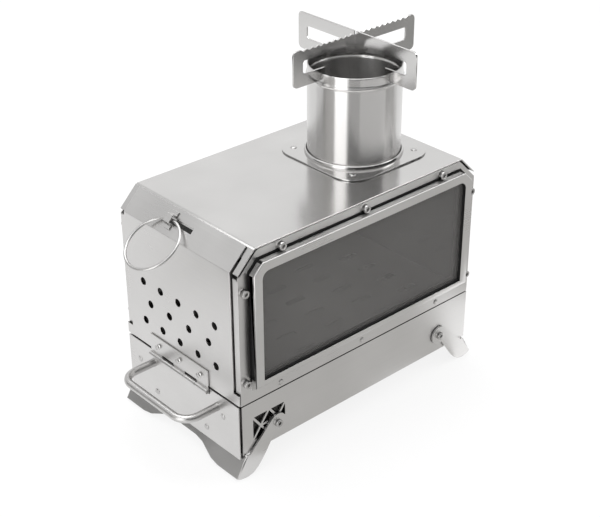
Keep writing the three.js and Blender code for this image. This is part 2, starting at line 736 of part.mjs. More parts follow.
// Side vents: a row of crosses, with a bar from the middle of one cross to the middle of the next
function ventHoles() {
  const left = -halfLength + ventInset;
  const right = left + ventLength;
  const high = -ventTop;
  const low = high - ventHeight;
  const middle = (high + low) / 2;
  const pitch = ventLength / ventCrosses;
  const triangles = [
    [[left, high], [left + pitch / 2, middle], [left, low]],
    [[right, low], [right - pitch / 2, middle], [right, high]],
  ];
  for (let cross = 0; cross < ventCrosses; cross += 1) {
    const start = left + cross * pitch;
    const centre = start + pitch / 2;
    triangles.push([[start, high], [start + pitch, high], [centre, middle]]);
    triangles.push([[start, low], [start + pitch, low], [centre, middle]]);
    if (cross < ventCrosses - 1) {
      triangles.push([[centre, middle], [centre + pitch, middle], [start + pitch, high]]);
      triangles.push([[centre, middle], [centre + pitch, middle], [start + pitch, low]]);
    }
  }
  return triangles.map((points) => plate('xz', outlineOf(shrink(points, ventBar / 2)), -halfDepth - 1,
    halfDepth + 1));
}

// Moves each side of a triangle inwards by the same distance
function shrink(points, distance) {
  const [a, b, c] = points.map(([x, z]) => new THREE.Vector2(x, z));
  const lengths = [b.distanceTo(c), c.distanceTo(a), a.distanceTo(b)];
  const perimeter = lengths[0] + lengths[1] + lengths[2];
  const centre = new THREE.Vector2()
    .addScaledVector(a, lengths[0] / perimeter)
    .addScaledVector(b, lengths[1] / perimeter)
    .addScaledVector(c, lengths[2] / perimeter);
  const area = Math.abs((b.x - a.x) * (c.y - a.y) - (c.x - a.x) * (b.y - a.y)) / 2;
  const share = 1 - distance / (2 * area / perimeter);
  return [a, b, c].map((corner) => corner.sub(centre).multiplyScalar(share).add(centre).toArray());
}

// Ash drawer
const drawerFrontInnerX = halfLength + drawerFrontProud - sheet;
const drawerFrontOuterX = halfLength + drawerFrontProud;
const trayFrontX = drawerFrontInnerX - clearance;
const drawerRivetSpots = [-1, 1].flatMap((side) => [
  [drawerRivetMiddleY + side * (halfDepth - drawerRivetUpper[0]), -drawerRivetUpper[1]],
  [drawerRivetMiddleY + side * (halfDepth - drawerRivetLower[0]), drawerRivetLower[1] - baseHeight]]);
const trayHalfWidth = halfDepth - traySideGap;
const trayLength = bodyLength - trayEndGap;
const handleEnds = [-1, 1].map((side) => [handleMiddleY + side * handleSpread, -handleDrop]);
const trayBottom = -baseHeight + sheet + clearance;

function drawerScrewHoles(radius) {
  return handleEnds.map((place) => cylinder('x', radius, -drawerFrontOuterX - 1, -trayFrontX + 4, place,
    12));
}

function drawerRivetHoles() {
  return drawerRivetSpots.map((place) => cylinder('x', rivetRadius + boltClearance, -drawerFrontOuterX - 1,
    -trayFrontX + 4, place, 12));
}

function drawerFront() {
  const half = halfDepth - drawerFrontSideGap;
  const notch = [leafStartY - notchGap, leafEndY + notchGap];
  const low = -baseHeight - drawerFrontDrop;
  const outline = outlineOf([[-half, low], [half, low], [half, 0], [notch[1], 0], [notch[1], -notchDepth],
    [notch[0], -notchDepth], [notch[0], 0], [-half, 0]]);
  return cut(plate('yz', outline, -drawerFrontOuterX, -drawerFrontInnerX), [
    ...drawerRivetHoles(),
    ...drawerScrewHoles(handleScrewRadius + boltClearance),
  ]);
}

function drawerTray() {
  const start = -trayFrontX;
  const body = block([start, -trayHalfWidth, trayBottom], [start + trayLength, trayHalfWidth, -trayTop]);
  const room = block([start + traySheet, -trayHalfWidth + traySheet, trayBottom + traySheet],
    [start + trayLength - traySheet, trayHalfWidth - traySheet, 0]);
  return cut(body, [room, ...drawerRivetHoles(), ...drawerScrewHoles(handleScrewRadius + boltClearance)]);
}

function drawerRivet([y, z]) {
  const length = sheet + traySheet + clearance * 2 + 0.5;
  return aim(domeRivet(length), [-1, 0, 0], [-drawerFrontOuterX - clearance, y, z]);
}

function drawerHandle() {
  const start = drawerFrontOuterX + clearance;
  const reach = drawerFrontOuterX + handleReach;
  const path = new THREE.CurvePath();
  const at = (x, y) => new THREE.Vector3(-x, handleMiddleY + y, -handleDrop);
  const straight = handleSpread - handleBend;
  path.add(new THREE.LineCurve3(at(start, -handleSpread), at(reach - handleBend, -handleSpread)));
  path.add(new THREE.QuadraticBezierCurve3(at(reach - handleBend, -handleSpread), at(reach, -handleSpread),
    at(reach, -straight)));
  path.add(new THREE.LineCurve3(at(reach, -straight), at(reach, straight)));
  path.add(new THREE.QuadraticBezierCurve3(at(reach, straight), at(reach, handleSpread),
    at(reach - handleBend, handleSpread)));
  path.add(new THREE.LineCurve3(at(reach - handleBend, handleSpread), at(start, handleSpread)));
  const section = new THREE.Shape().absarc(0, 0, handleRadius, 0, 2 * Math.PI);
  const rod = new THREE.ExtrudeGeometry(section, { steps: 40, extrudePath: path, curveSegments: 5 });
  const tapped = handleScrewDepth + clearance;
  return cut(rod, handleEnds.map((place) => cylinder('x', handleScrewRadius + boltClearance, -start - tapped,
    -start + 1, place, 10)));
}

function handleScrew(place) {
  const headX = -trayFrontX + traySheet + clearance;
  return join([
    cylinder('x', handleScrewRadius * 2, headX, headX + 2, place),
    cylinder('x', handleScrewRadius, -drawerFrontOuterX - handleScrewDepth, headX + weldSink, place, 10),
  ]);
}

// Legs: each is one sheet bent into a U, with an eye on each arm round a pivot screw
const legPivotX = halfLength - legPivotInset;
const legPivotZ = -baseHeight + legPivotHeight;
const legInnerY = halfDepth + legSideGap;
const legOuterY = legInnerY + legSheet;

function leg(end) {
  const ground = -baseHeight - footDrop;
  const endTop = -baseHeight - clearance;
  const tipX = halfLength - legEndInset;
  const tipZ = ground + footTipRise;
  const footX = tipX + (endTop - tipZ) * Math.tan(THREE.MathUtils.degToRad(legEndTilt));
  const heel = footX - footTipLength - footFlat;
  const slant = legSheet / Math.cos(THREE.MathUtils.degToRad(legEndTilt));
  const arm = new THREE.Shape();
  const eye = (angle) => [legPivotX + legEyeRadius * Math.cos(angle),
    legPivotZ + legEyeRadius * Math.sin(angle)];
  const upper = eye(Math.PI / 4);
  const reachX = upper[0] + (upper[1] - endTop);
  arm.moveTo(...upper);
  arm.lineTo(Math.min(reachX, tipX), endTop);
  arm.lineTo(tipX, endTop);
  arm.lineTo(footX, tipZ);
  arm.quadraticCurveTo(footX - footTipLength / 2, ground, heel + footFlat, ground);
  arm.lineTo(heel, ground);
  arm.bezierCurveTo(heel - heelPull, ground, legPivotX + armPull[0], legPivotZ - armPull[1],
    ...eye(eyeStart));
  arm.absarc(legPivotX, legPivotZ, legEyeRadius, eyeStart, Math.PI / 4, true);
  const shape = outlineOf(arm.getPoints(6).map((point) => [end * point.x, point.y]));
  const endSection = outlineOf([[tipX - slant, endTop], [tipX, endTop], [footX, tipZ],
    [footX - slant, tipZ]].map(([x, z]) => [end * x, z]));
  const arch = new THREE.Shape();
  const archTop = tipZ + archHeight;
  arch.moveTo(-archHalfWidth, ground - 1);
  arch.lineTo(-archHalfWidth, tipZ);
  arch.bezierCurveTo(-archHalfWidth + archEase, tipZ, -archFlatHalfWidth - archEase, archTop,
    -archFlatHalfWidth, archTop);
  arch.lineTo(archFlatHalfWidth, archTop);
  arch.bezierCurveTo(archFlatHalfWidth + archEase, archTop, archHalfWidth - archEase, tipZ,
    archHalfWidth, tipZ);
  arch.lineTo(archHalfWidth, ground - 1);
  const body = join([
    plate('xz', shape, legInnerY, legOuterY),
    plate('xz', shape, -legOuterY, -legInnerY),
    plate('xz', endSection, -legOuterY, legOuterY),
  ]);
  return cut(body, [
    plate('yz', arch, end * (tipX - baseHeight), end * (footX + baseHeight)),
    cylinder('y', screwRadius + runningFit, -legOuterY - 1, legOuterY + 1, [end * legPivotX, legPivotZ], 24),
  ]);
}

const pivotPlaces = [-1, 1].flatMap((end) => [-1, 1].map((side) => [end, side]));
function legScrew(end, side) {
  const length = legSheet + legSideGap + sheet + nutThickness + 1;
  return aim(capScrew(length, pivotHeadHeight), [0, side, 0],
    [end * legPivotX, side * (legOuterY + clearance), legPivotZ]);
}

// Collar: a tube through a rivetted plate, with a ring round its foot
const collarPlateZ = bodyHeight + clearance;
const rimZ = bodyHeight + collarHeight;

function collarPlate() {
  const outline = roundRectangle(collarPlateHalf, collarPlateHalf, collarPlateCorner, [collarX, 0]);
  return cut(plate('xy', outline, collarPlateZ, collarPlateZ + collarPlateSheet), [
    cylinder('z', collarRadius + clearance, bodyHeight - 1, bodyHeight + 5, [collarX, 0], 48),
    ...collarRivetHoles(),
  ]);
}

function collarRivet(spot) {
  const top = collarPlateZ + collarPlateSheet + clearance;
  return aim(domeRivet(collarPlateSheet + sheet + clearance * 2 + 0.5), [0, 0, 1], [...spot, top]);
}

function turned(profile, sides = 48) {
  const points = profile.map(([radius, height]) => new THREE.Vector2(radius, height));
  points.push(points[0].clone());
  return new THREE.LatheGeometry(points, sides).rotateX(Math.PI / 2).translate(collarX, 0, 0);
}

function collarTube() {
  const inner = collarRadius - collarWall;
  const foot = bodyHeight - sheet - 2;
  const beadZ = rimZ - beadDrop;
  return turned([[inner, foot], [collarRadius, foot], [collarRadius, beadZ - beadSize],
    [collarRadius + beadSize, beadZ], [collarRadius, beadZ + beadSize], [collarRadius, rimZ], [inner, rimZ],
    [inner, beadZ + beadSize], [inner + beadSize, beadZ], [inner, beadZ - beadSize]]);
}

function collarRing() {
  const low = collarPlateZ + collarPlateSheet + clearance;
  const inner = collarRadius + clearance;
  return turned([[inner, low], [inner + collarRingWidth, low], [inner + collarRingWidth, low + 1],
    [inner + 1, low + collarRingHeight], [inner, low + collarRingHeight]]);
}

// Pot stand: two plates halved into each other, notched to sit on the collar's rim
const standTop = rimZ + standAboveRim;
const standBottom = rimZ - standBelowRim;
const standLap = standTop - standWebDepth / 2;

function standOutline(toothed) {
  const top = standTop + (toothed ? 0 : standSmoothRise);
  const footTop = standBottom + standFootBar;
  const beamLow = standTop - standBeam;
  const notchIn = collarRadius - collarWall - boltClearance;
  const notchOut = collarRadius + boltClearance;
  const notchTop = rimZ + clearance;
  const tip = collarRadius - standFootInside;
  const outer = standHalfLength;
  const windowOuter = outer - standEndBar;
  const round = standCorner;
  const edge = [[0, standTop - standWebDepth], [standWebHalf, standTop - standWebDepth],
    [standWebSpread, beamLow], [windowOuter - 1.5, beamLow], [windowOuter, beamLow - 1.5],
    [windowOuter, footTop + 1.5], [windowOuter - 1.5, footTop], [tip, footTop], [tip, standBottom],
    [notchIn, standBottom], [notchIn, notchTop], [notchOut, notchTop], [notchOut, standBottom],
    [outer - round, standBottom]];
  const corner = (middleZ, start) => [0.25, 0.5, 0.75, 1].map((share) => {
    const angle = (start + share / 2) * Math.PI;
    return [outer - round + round * Math.cos(angle), middleZ + round * Math.sin(angle)];
  });
  edge.push(...corner(standBottom + round, -0.5), [outer, top - round], ...corner(top - round, 0));
  if (toothed) {
    const count = Math.floor((outer - round) / toothPitch);
    for (let tooth = count; tooth >= 1; tooth -= 1) {
      const middle = (tooth - 0.5) * toothPitch;
      edge.push([middle + toothPitch * 0.3, standTop], [middle - toothPitch * 0.05, standTop - toothDepth],
        [middle - toothPitch * 0.3, standTop - toothDepth]);
    }
  }
  const mirrored = edge.slice(1).reverse().map(([r, z]) => [-r, z]);
  return outlineOf([...edge, ...mirrored]);
}

function standPlate(plane, toothed) {
  const across = plane === 'xz' ? 0 : collarX;
  const along = plane === 'xz' ? collarX : 0;
  const body = plate(plane, standOutline(toothed), -standSheet / 2, standSheet / 2);
  body.translate(collarX, 0, 0);
  const slotHalfWidth = standSheet / 2 + clearance;
  const [low, high] = toothed ? [standBottom, standLap + clearance / 2]
    : [standLap - clearance / 2, standTop + standSmoothRise + 1];
  const slot = plane === 'xz'
    ? block([along - slotHalfWidth, -5, low], [along + slotHalfWidth, 5, high])
    : block([across - 5, -slotHalfWidth, low], [across + 5, slotHalfWidth, high]);
  return cut(body, [slot]);
}

add('body_shell', bodyShell(), 'sheetSteel');
[['front', -1], ['back', 1]].forEach(([name, side]) => {
  add(`${name}_side_panel`, sidePanel(side), 'sheetSteel');
  add(`${name}_inner_frame`, innerFrame(side), 'innerSteel');
  add(`${name}_window_seal`, windowSeal(side), 'seal');
  add(`${name}_window_glass`, windowGlass(side), 'glass');
  panelScrews.forEach((place, i) => {
    add(`${name}_panel_screw_${i + 1}`, panelScrew(side, place), 'fastener');
  });
});
add('grate', grate(), 'innerSteel');
add('door_panel', doorPanel(), 'sheetSteel');
add('door_hinge_leaf', doorHingeLeaf(), 'sheetSteel');
add('door_hinge_pin', cylinder('y', hingePinRadius, leafStartY + 0.1, leafEndY - 0.1,
  [hingeX, hingeAxisZ]), 'fastener');
add('sill_hinge_leaf', sillHingeLeaf(), 'sheetSteel');
add('door_sill', doorSill(), 'sheetSteel');
add('ring_bridge', ringBridge(), 'sheetSteel');
add('pull_ring', pullRing(), 'brushedSteel');
add('base_shell', baseShell(), 'sheetSteel');
add('drawer_front', drawerFront(), 'sheetSteel');
add('drawer_tray', drawerTray(), 'innerSteel');
drawerRivetSpots.forEach((spot, i) => add(`drawer_rivet_${i + 1}`, drawerRivet(spot), 'fastener'));
add('drawer_handle', drawerHandle(), 'brushedSteel');
handleEnds.forEach((place, i) => add(`handle_screw_${i + 1}`, handleScrew(place), 'fastener'));
add('left_leg', leg(-1), 'sheetSteel');
add('right_leg', leg(1), 'sheetSteel');
pivotPlaces.forEach(([end, side], i) => add(`leg_screw_${i + 1}`, legScrew(end, side), 'fastener'));
add('collar_plate', collarPlate(), 'sheetSteel');
collarRivetSpots.forEach((spot, i) => add(`collar_rivet_${i + 1}`, collarRivet(spot), 'fastener'));
add('collar_ring', collarRing(), 'brushedSteel');
add('collar_tube', collarTube(), 'brushedSteel');
add('stand_lower_plate', standPlate('yz', false), 'sheetSteel');
add('stand_upper_plate', standPlate('xz', true), 'sheetSteel');

// The finished stove stands on z = 0 with the middle of its length and width over the origin
const whole = new THREE.Box3().setFromObject(stove);
stove.position.set(-(whole.min.x + whole.max.x) / 2, -(whole.min.y + whole.max.y) / 2, -whole.min.z);
stove.updateMatrixWorld(true);

export default stove;
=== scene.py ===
import json
import math
import bpy
import bmesh
import numpy as np
from mathutils import Matrix, Vector


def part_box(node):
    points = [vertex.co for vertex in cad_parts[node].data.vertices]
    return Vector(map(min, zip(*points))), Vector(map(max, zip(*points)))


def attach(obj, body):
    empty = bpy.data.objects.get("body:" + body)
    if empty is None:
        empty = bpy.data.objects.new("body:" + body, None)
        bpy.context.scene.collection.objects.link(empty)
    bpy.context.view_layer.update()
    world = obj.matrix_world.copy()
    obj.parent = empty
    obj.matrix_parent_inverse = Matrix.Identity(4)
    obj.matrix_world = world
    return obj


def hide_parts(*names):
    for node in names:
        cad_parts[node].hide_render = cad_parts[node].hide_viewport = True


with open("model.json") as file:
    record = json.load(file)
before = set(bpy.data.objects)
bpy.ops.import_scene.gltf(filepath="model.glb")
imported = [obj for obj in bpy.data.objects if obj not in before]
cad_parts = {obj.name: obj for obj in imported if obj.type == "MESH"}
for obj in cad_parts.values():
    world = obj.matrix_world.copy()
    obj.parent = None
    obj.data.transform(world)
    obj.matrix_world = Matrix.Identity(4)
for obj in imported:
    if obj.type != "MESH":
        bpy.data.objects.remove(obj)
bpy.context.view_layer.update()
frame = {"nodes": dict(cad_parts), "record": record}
scene = bpy.context.scene

mm = 0.001
# measurements are in mm from the middle of the firebox, with z = 0 at the seam above the base
wrapLow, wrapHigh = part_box("body_shell")
origin = np.array([(wrapLow.x + wrapHigh.x) / 2, 0.0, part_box("base_shell")[1].z])


def toRow(points):  # mm round the firebox's middle, to metres in the row frame
    return np.asarray(points, float) * mm + origin


def toStove(point):  # and back
    return (np.array(point) - origin) / mm


def nodeBox(node):  # lowest and highest corner of a CAD node, in mm
    low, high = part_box(node)
    return toStove(low), toStove(high)


def linear(hexColour):  # sRGB hex to linear RGBA
    parts = np.array([int(hexColour[i:i + 2], 16) / 255 for i in (1, 3, 5)])
    curve = np.where(parts <= 0.04045, parts / 12.92, ((parts + 0.055) / 1.055) ** 2.4)
    return (*curve.tolist(), 1.0)


def addNode(tree, kind, settings=None, links=None):
    node = tree.nodes.new(kind)
    for key, value in (settings or {}).items():
        if isinstance(key, int) or key in node.inputs:
            node.inputs[key].default_value = value
        else:
            setattr(node, key, value)
    for key, source in (links or {}).items():
        tree.links.new(source, node.inputs[key])
    return node


def newMaterial(name):
    material = bpy.data.materials.new(name)
    material.use_nodes = True
    tree = material.node_tree
    tree.nodes.clear()
    return material, tree, addNode(tree, "ShaderNodeOutputMaterial")


# Stainless steel, belt brushed: fine parallel scratches that spread highlights across the grain,
# a faint cloudiness from rolling, and painted shade, a dark tone, on the faces that look inward to the fire.
# The real scratches are about 0.1 mm apart; they are drawn wider apart so that they show.
def brushedStainless(name, look):
    material, tree, output = newMaterial(name)
    place = addNode(tree, "ShaderNodeTexCoord").outputs["Object"]
    across = 1000 / look["grainWidth"]
    along = 1000 / look["grainLength"]
    stretch = [along if axis == look["grainAxis"] else across for axis in "xyz"]
    grainPlace = addNode(tree, "ShaderNodeMapping", {"Scale": stretch}, {"Vector": place})
    grain = addNode(tree, "ShaderNodeTexNoise", {"Scale": 1.0, "Detail": 3.0, "Roughness": 0.6},
                    {"Vector": grainPlace.outputs["Vector"]})
    cloud = addNode(tree, "ShaderNodeTexNoise", {"Scale": 1000 / look["cloudSize"], "Detail": 2.0},
                    {"Vector": place})
    mixed = addNode(tree, "ShaderNodeMath", {"operation": "MULTIPLY_ADD", 1: look["grainShare"]},
                    {0: grain.outputs["Fac"], 2: cloud.outputs["Fac"]})
    rough = addNode(tree, "ShaderNodeMapRange",
                    {"From Min": 0.4, "From Max": 1.0,
                     "To Min": look["roughLow"], "To Max": look["roughHigh"]},
                    {"Value": mixed.outputs[0]})
    tint = addNode(tree, "ShaderNodeMix",
                   {"data_type": "RGBA", 6: linear(look["dark"]), 7: linear(look["light"])},
                   {0: mixed.outputs[0]})
    inward = addNode(tree, "ShaderNodeAttribute", {"attribute_name": "inward"})  # faces the fire
    # painted shade: faces inside the firebox take a dark tone, standing for the shade inside the closed box
    tint = addNode(tree, "ShaderNodeMix", {"data_type": "RGBA", 7: linear(look["insideShade"])},
                   {0: inward.outputs["Fac"], 6: tint.outputs[2]})
    bump = addNode(tree, "ShaderNodeBump", {"Strength": look["bump"], "Distance": 0.00002},
                   {"Height": grain.outputs["Fac"]})
    shader = addNode(tree, "ShaderNodeBsdfPrincipled",
                     {"Metallic": 1.0, "Anisotropic": look.get("drawnOut", 0.0),
                      "Anisotropic Rotation": 0.25},
                     {"Base Color": tint.outputs[2], "Roughness": rough.outputs["Result"],
                      "Normal": bump.outputs["Normal"]})
    tree.links.new(shader.outputs["BSDF"], output.inputs["Surface"])
    return material


# Heat-proof glass, rolled: mostly clear, with a grey film mixed in that greys what is behind it
def ceramicGlass(name, look):
    material, tree, output = newMaterial(name)
    place = addNode(tree, "ShaderNodeTexCoord").outputs["Object"]
    filmNoise = addNode(tree, "ShaderNodeTexNoise", {"Scale": 1000 / look["cloudSize"], "Detail": 2.0},
                    {"Vector": place})
    film = addNode(tree, "ShaderNodeMix",
                   {"data_type": "RGBA", 6: linear(look["filmDark"]), 7: linear(look["filmLight"])},
                   {0: filmNoise.outputs["Fac"]})
    clear = addNode(tree, "ShaderNodeBsdfTransparent", {"Color": linear(look["tint"])})
    shine = addNode(tree, "ShaderNodeBsdfPrincipled", {"Roughness": look["rough"], "IOR": 1.5},
                    {"Base Color": film.outputs[2]})
    slant = addNode(tree, "ShaderNodeLayerWeight", {"Blend": look["slantShine"]})
    share = addNode(tree, "ShaderNodeMapRange", {"To Min": look["haze"], "To Max": 1.0},
                    {"Value": slant.outputs["Facing"]})
    both = addNode(tree, "ShaderNodeMixShader", {},
                   {0: share.outputs["Result"], 1: clear.outputs[0], 2: shine.outputs["BSDF"]})
    tree.links.new(both.outputs[0], output.inputs["Surface"])
    return material


# Pressed fibre seal: matt black with a fuzzy surface that swallows light; in the gaps round the window its
# black is partly a real seal and partly painted shade
def fibreSeal(name, look):
    material, tree, output = newMaterial(name)
    place = addNode(tree, "ShaderNodeTexCoord").outputs["Object"]
    fuzz = addNode(tree, "ShaderNodeTexNoise", {"Scale": 1000 / look["fibre"], "Detail": 4.0},
                   {"Vector": place})
    bump = addNode(tree, "ShaderNodeBump", {"Strength": 0.5, "Distance": 0.0002},
                   {"Height": fuzz.outputs["Fac"]})
    tint = addNode(tree, "ShaderNodeMix",
                   {"data_type": "RGBA", 6: linear(look["dark"]), 7: linear(look["light"])},
                   {0: fuzz.outputs["Fac"]})
    shader = addNode(tree, "ShaderNodeBsdfPrincipled", {"Roughness": 0.9},
                     {"Base Color": tint.outputs[2], "Normal": bump.outputs["Normal"]})
    tree.links.new(shader.outputs["BSDF"], output.inputs["Surface"])
    return material


# the dark tone for the faces inside the firebox is painted shade
sheetLook = {
    "dark": "#c2c1c0", "light": "#d6d5d4", "insideShade": "#4a4846",
    "roughLow": 0.25, "roughHigh": 0.36,
    "grainWidth": 1.0, "grainLength": 60.0, "grainAxis": "x", "grainShare": 0.35,
    "cloudSize": 60.0, "bump": 0.2,
}
brushedAlongX = brushedStainless("stainless sheet, belt brushed lengthwise", sheetLook)
brushedAlongY = brushedStainless("stainless sheet, belt brushed across", {**sheetLook, "grainAxis": "y"})
polishedSheet = brushedStainless("stainless sheet, bright annealed",  # shows soft mirror images
                                 {**sheetLook, "roughLow": 0.15, "roughHigh": 0.21, "bump": 0.05})
innerSheet = brushedStainless("stainless sheet, mill finish",  # duller, seen through the glass
                              {**sheetLook, "dark": "#8d8b89", "light": "#b4b2b0",
                               "roughLow": 0.4, "roughHigh": 0.55})
# brushed round and round, so that lights draw out into sharp-sided upright bands
rolledTube = brushedStainless("stainless tube, rolled and brushed round",
                              {**sheetLook, "roughLow": 0.22, "roughHigh": 0.26, "drawnOut": 0.95,
                               "grainShare": 0.1, "bump": 0.0, "cloudSize": 90.0})
rolledWire = brushedStainless("stainless bead, rolled",  # a bright line round the collar's foot
                              {**sheetLook, "roughLow": 0.16, "roughHigh": 0.22})
cutPlate = brushedStainless("stainless plate, laser cut and polished",  # mirrors its neighbours darkly
                            {**sheetLook, "roughLow": 0.14, "roughHigh": 0.2})
drawnWire = brushedStainless("stainless wire, drawn and tumbled",  # satin, with a soft long highlight
                             {**sheetLook, "dark": "#b0afae", "light": "#cac9c8", "roughLow": 0.3,
                              "roughHigh": 0.4, "grainWidth": 0.6, "grainLength": 12.0, "grainAxis": "y"})
boltSteel = brushedStainless("stainless fasteners, cold headed",
                             {**sheetLook, "dark": "#a3a2a1", "light": "#c8c7c6", "roughLow": 0.22,
                              "roughHigh": 0.36, "cloudSize": 6.0})
# painted shade: the back pane's dark film and heavy haze make the inside of the stove look dark
shadePaintedPane = ceramicGlass("heat-proof glass, darkened for painted shade",  # hides the inside of the stove
                          {"tint": "#d0d0cf", "filmDark": "#474645", "filmLight": "#5a5958",
                           "rough": 0.12, "haze": 0.7, "slantShine": 0.08, "cloudSize": 50.0})
glassPane = ceramicGlass("heat-proof glass, rolled",
                         {"tint": "#e4e4e3", "filmDark": "#8c8a89", "filmLight": "#a09e9c",
                          "rough": 0.12, "haze": 0.2, "slantShine": 0.08, "cloudSize": 70.0})
# the seal is real, and its black also paints the shade in the gaps round the window
blackSeal = fibreSeal("fibre seal, pressed", {"dark": "#0b0b0b", "light": "#1d1d1d", "fibre": 0.8})
print("materials ready")

bodies = frame["record"]["behaviour"]["bodies"]
bodyOf = {node: body for body, nodes in bodies.items() for node in nodes}
slotOf = {entry["node"]: entry.get("material_slot") for entry in frame["record"]["subparts"]}
madeAnew = set()  # CAD nodes that a piece below replaces


# A sheet of points, rows by columns, as a mesh: the columns close on themselves, and the rows may
# too, or each end row is filled with one face
def surface(name, points, closedRows=False, filledEnds=False, sharpAngle=35):
    rows, columns = points.shape[:2]
    number = np.arange(rows * columns).reshape(rows, columns)
    below = number if closedRows else number[:-1]
    above = np.roll(number, -1, axis=0) if closedRows else number[1:]
    corners = [below, np.roll(below, -1, axis=1), np.roll(above, -1, axis=1), above]
    faces = np.stack(corners, axis=-1).reshape(-1, 4).tolist()
    if filledEnds:
        faces += [number[0][::-1].tolist(), number[-1].tolist()]
    mesh = bpy.data.meshes.new(name + "Shape")
    mesh.from_pydata(toRow(points.reshape(-1, 3)).tolist(), [], faces)
    work = bmesh.new()
    work.from_mesh(mesh)
    bmesh.ops.remove_doubles(work, verts=work.verts, dist=1e-6)
    bmesh.ops.recalc_face_normals(work, faces=work.faces)
    work.to_mesh(mesh)
    work.free()
    mesh.shade_smooth()
    mesh.set_sharp_from_angle(angle=math.radians(sharpAngle))
    piece = bpy.data.objects.new(name, mesh)
    scene.collection.objects.link(piece)
    return piece


def fitted(piece, material, nodes, body=None):  # finish, body, and the nodes it stands for
    piece.data.materials.clear()
    piece.data.materials.append(material)
    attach(piece, body or bodyOf[nodes[0]])
    if nodes:
        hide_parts(*nodes)
        madeAnew.update(nodes)
    return piece


# A profile of [radius, height] turned about an axis: each point goes round at its radius. rim scales
# the radius by angle and height, as an array that is as wide as the turn and as tall as the profile.
def turnedGrid(profile, columns, rim=1.0):
    profile = np.asarray(profile, float)
    angle = np.linspace(0, 2 * math.pi, columns, endpoint=False)
    radius = profile[:, :1] * rim
    height = np.repeat(profile[:, 1:2], columns, axis=1)
    return np.stack([radius * np.cos(angle), radius * np.sin(angle), height], axis=-1)


def aimed(points, direction, place):  # turns +Z of the points to a direction, and moves them
    turn = Vector((0, 0, 1)).rotation_difference(Vector(direction)).to_matrix()
    return points @ np.array(turn).T + np.array(place, float)


# A round wire along a path: a circle is set square to the path at each point, from the path's
# direction there and one fixed direction that is never along it
def wireAlong(path, radius, columns, fixed, closed=False):
    if closed:
        ahead = np.roll(path, -1, axis=0) - np.roll(path, 1, axis=0)
    else:
        ahead = np.gradient(path, axis=0)
    ahead /= np.linalg.norm(ahead, axis=1, keepdims=True)
    side = np.cross(ahead, fixed)
    side /= np.linalg.norm(side, axis=1, keepdims=True)
    other = np.cross(side, ahead)
    angle = np.linspace(0, 2 * math.pi, columns, endpoint=False)
    ring = np.cos(angle)[None, :, None] * side[:, None] + np.sin(angle)[None, :, None] * other[:, None]
    return path[:, None] + ring * np.asarray(radius, float).reshape(-1, 1, 1)


# Flue collar: a rolled tube with a bead, and above the bead its sheet laps over itself
collar = {"wall": 1.0, "rimRound": 0.3, "rows": 60, "columns": 256,
          "beadDrop": 8.8, "beadSize": 0.9, "beadWidth": 1.3, "beadReach": 4.0, "beadRows": 41,
          "seamAngle": 249, "lapHeight": 0.3, "lapLength": 14, "lapStart": 1.5, "lapRise": 1.0}
tubeLow, tubeHigh = nodeBox("collar_tube")
collarMiddle = (tubeLow + tubeHigh) / 2
collarRadius = (tubeHigh[1] - tubeLow[1]) / 2 - collar["beadSize"]
rimZ = tubeHigh[2]


# Each wall is radius plus a bead, a bell curve over the height. The lap is a step out at the seam
# that falls back to nothing over its length, and it starts above the bead.
def collarWalls():
    beadZ = rimZ - collar["beadDrop"]
    plainRows = np.linspace(tubeLow[2], rimZ - collar["rimRound"], collar["rows"])
    beadRows = beadZ + np.linspace(-collar["beadReach"], collar["beadReach"], collar["beadRows"])
    heights = np.unique(np.concatenate([plainRows, beadRows]))
    bead = collar["beadSize"] * np.exp(-((heights - beadZ) / collar["beadWidth"]) ** 2)
    outer = np.stack([collarRadius + bead, heights], axis=1)
    inner = np.stack([collarRadius - collar["wall"] + bead, heights], axis=1)[::-1]
    turn = np.linspace(0, math.pi, 7)[1:-1]
    middle = collarRadius - collar["wall"] / 2
    rim = np.stack([middle + collar["wall"] / 2 * np.cos(turn),
                    rimZ - collar["rimRound"] + collar["rimRound"] * np.sin(turn)], axis=1)
    profile = np.concatenate([outer, rim, inner])
    angle = np.linspace(0, 360, collar["columns"], endpoint=False)
    past = (angle - collar["seamAngle"]) % 360
    lap = np.clip(1 - past / collar["lapLength"], 0, 1) * collar["lapHeight"]
    climb = np.clip((profile[:, 1] - beadZ - collar["lapStart"]) / collar["lapRise"], 0, 1)
    outside = profile[:, 0] > middle
    return turnedGrid(profile, collar["columns"], 1 + np.outer(climb * outside, lap) / collarRadius)


place = (collarMiddle[0], 0, 0)
fitted(surface("collarTube", collarWalls() + place, closedRows=True), rolledTube, ["collar_tube"])

# Ring round the collar's foot: a half-round bead on a flat base
ringLow, ringHigh = nodeBox("collar_ring")
footRing = {"gap": 0.15, "width": 2.3, "sunk": 0.25, "columns": 160}
turn = np.linspace(0, math.pi, 13)
profile = np.stack([collarRadius + footRing["gap"] + footRing["width"] / 2 * (1 + np.cos(turn)),
                    ringLow[2] - footRing["sunk"]
                    + (ringHigh[2] - ringLow[2] + footRing["sunk"]) * np.sin(turn)], axis=1)
fitted(surface("collarFootRing", turnedGrid(profile, footRing["columns"]) + place, closedRows=True),
       rolledWire, ["collar_ring"])

